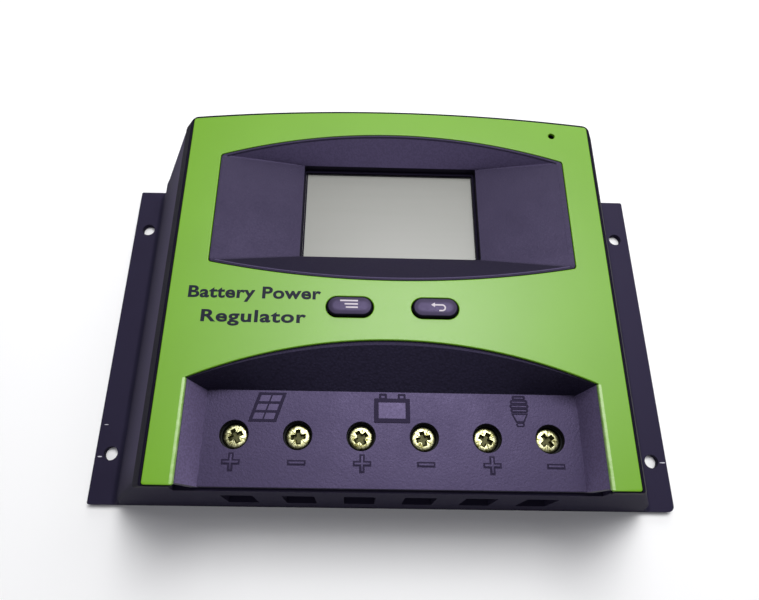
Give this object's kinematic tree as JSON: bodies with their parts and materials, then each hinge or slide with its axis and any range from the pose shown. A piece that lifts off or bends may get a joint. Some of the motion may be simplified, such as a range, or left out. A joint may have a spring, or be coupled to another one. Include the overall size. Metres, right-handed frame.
{
  "type": "solar charge controller",
  "caption": "Flanged box with a green face, a recessed display, two push keys and a front bay of screw terminals; regulates battery charging.",
  "frame": {"origin": "middle of the footprint, on the mounting surface", "axes": "+Z out of the face, +X to the right along the terminal row, +Y from the terminals towards the display"},
  "size_m": [0.189, 0.1202, 0.0498],
  "materials": {
    "case_black": "smooth satin black paint over aluminium",
    "cover_black": "finely textured moulded plastic, black with a purple cast",
    "face_green": "semi-gloss lime green",
    "key_black": "satin moulded keys",
    "display_grey": "grey-green liquid crystal display, unlit",
    "diffuser_white": "white moulded plastic",
    "terminal_black": "black moulded terminal block",
    "brass": "yellow-passivated screw heads",
    "copper": "bare copper",
    "steel": "zinc-plated steel",
    "aluminium": "extruded aluminium",
    "board_green": "solder-masked circuit board",
    "chip_black": "moulded component body",
    "capacitor_blue": "sleeved can",
    "fuse_yellow": "translucent blade fuse",
    "lamp_clear": "clear lamp body",
    "ribbon_grey": "flat cable"
  },
  "bodies": {
    "housing": {"board_header": "diffuser_white", "board_screw_1": "steel", "board_screw_2": "steel", "board_screw_3": "steel", "board_screw_4": "steel", "buzzer": "chip_black", "capacitor_1": "capacitor_blue", "capacitor_2": "capacitor_blue", "cover_screw_1": "steel", "cover_screw_2": "steel", "cover_screw_3": "steel", "cover_screw_4": "steel", "current_shunt": "copper", "display_board": "board_green", "display_header": "diffuser_white", "face_panel": "face_green", "fuse_1": "fuse_yellow", "fuse_2": "fuse_yellow", "heat_bar": "aluminium", "heat_sink_plate": "aluminium", "indicator_lamp": "lamp_clear", "lcd_backlight": "diffuser_white", "lcd_frame": "chip_black", "lcd_glass": "display_grey", "lower_case": "case_black", "main_board": "board_green", "menu_switch": "chip_black", "microcontroller": "chip_black", "mosfet_1": "chip_black", "mosfet_2": "chip_black", "mosfet_3": "chip_black", "mosfet_4": "chip_black", "mosfet_spring": "steel", "return_switch": "chip_black", "ribbon_cable": "ribbon_grey", "terminal_block": "terminal_black", "terminal_contact_1": "copper", "terminal_contact_2": "copper", "terminal_contact_3": "copper", "terminal_contact_4": "copper", "terminal_contact_5": "copper", "terminal_contact_6": "copper", "top_cover": "cover_black"},
    "menu_key": {"menu_button": "key_black", "menu_plunger": "steel"},
    "return_key": {"return_button": "key_black", "return_plunger": "steel"},
    "screw_1": {"terminal_screw_1": "brass"},
    "clamp_1": {"terminal_clamp_1": "steel"},
    "screw_2": {"terminal_screw_2": "brass"},
    "clamp_2": {"terminal_clamp_2": "steel"},
    "screw_3": {"terminal_screw_3": "brass"},
    "clamp_3": {"terminal_clamp_3": "steel"},
    "screw_4": {"terminal_screw_4": "brass"},
    "clamp_4": {"terminal_clamp_4": "steel"},
    "screw_5": {"terminal_screw_5": "brass"},
    "clamp_5": {"terminal_clamp_5": "steel"},
    "screw_6": {"terminal_screw_6": "brass"},
    "clamp_6": {"terminal_clamp_6": "steel"}
  },
  "joints": [
    {"name": "menu_press", "type": "slide", "parent": "housing", "child": "menu_key", "axis": [0, 0, -1], "range_m": [0, 0.0008], "stiffness_N_per_m": 1200, "springref_m": -0.0004},
    {"name": "return_press", "type": "slide", "parent": "housing", "child": "return_key", "axis": [0, 0, -1], "range_m": [0, 0.0008], "stiffness_N_per_m": 1200, "springref_m": -0.0004},
    {"name": "clamp_1_rise", "type": "slide", "parent": "housing", "child": "clamp_1", "axis": [0, 0, 1], "range_m": [0, 0.0042]},
    {"name": "screw_1_turn", "type": "hinge", "parent": "housing", "child": "screw_1", "pos_m": [-0.04285, -0.0437, 0.0355], "axis": [0, 0, -1], "range_deg": [0, 2162]},
    {"name": "clamp_2_rise", "type": "slide", "parent": "housing", "child": "clamp_2", "axis": [0, 0, 1], "range_m": [0, 0.0042]},
    {"name": "screw_2_turn", "type": "hinge", "parent": "housing", "child": "screw_2", "pos_m": [-0.02535, -0.0437, 0.0355], "axis": [0, 0, -1], "range_deg": [0, 2162]},
    {"name": "clamp_3_rise", "type": "slide", "parent": "housing", "child": "clamp_3", "axis": [0, 0, 1], "range_m": [0, 0.0042]},
    {"name": "screw_3_turn", "type": "hinge", "parent": "housing", "child": "screw_3", "pos_m": [-0.00785, -0.0437, 0.0355], "axis": [0, 0, -1], "range_deg": [0, 2162]},
    {"name": "clamp_4_rise", "type": "slide", "parent": "housing", "child": "clamp_4", "axis": [0, 0, 1], "range_m": [0, 0.0042]},
    {"name": "screw_4_turn", "type": "hinge", "parent": "housing", "child": "screw_4", "pos_m": [0.00965, -0.0437, 0.0355], "axis": [0, 0, -1], "range_deg": [0, 2162]},
    {"name": "clamp_5_rise", "type": "slide", "parent": "housing", "child": "clamp_5", "axis": [0, 0, 1], "range_m": [0, 0.0042]},
    {"name": "screw_5_turn", "type": "hinge", "parent": "housing", "child": "screw_5", "pos_m": [0.02715, -0.0437, 0.0355], "axis": [0, 0, -1], "range_deg": [0, 2162]},
    {"name": "clamp_6_rise", "type": "slide", "parent": "housing", "child": "clamp_6", "axis": [0, 0, 1], "range_m": [0, 0.0042]},
    {"name": "screw_6_turn", "type": "hinge", "parent": "housing", "child": "screw_6", "pos_m": [0.04465, -0.0437, 0.0355], "axis": [0, 0, -1], "range_deg": [0, 2162]}
  ],
  "couplings": [
    {"joint": "screw_1_turn", "follows": "clamp_1_rise", "rad_per_m": 8976},
    {"joint": "screw_2_turn", "follows": "clamp_2_rise", "rad_per_m": 8976},
    {"joint": "screw_3_turn", "follows": "clamp_3_rise", "rad_per_m": 8976},
    {"joint": "screw_4_turn", "follows": "clamp_4_rise", "rad_per_m": 8976},
    {"joint": "screw_5_turn", "follows": "clamp_5_rise", "rad_per_m": 8976},
    {"joint": "screw_6_turn", "follows": "clamp_6_rise", "rad_per_m": 8976}
  ]
}
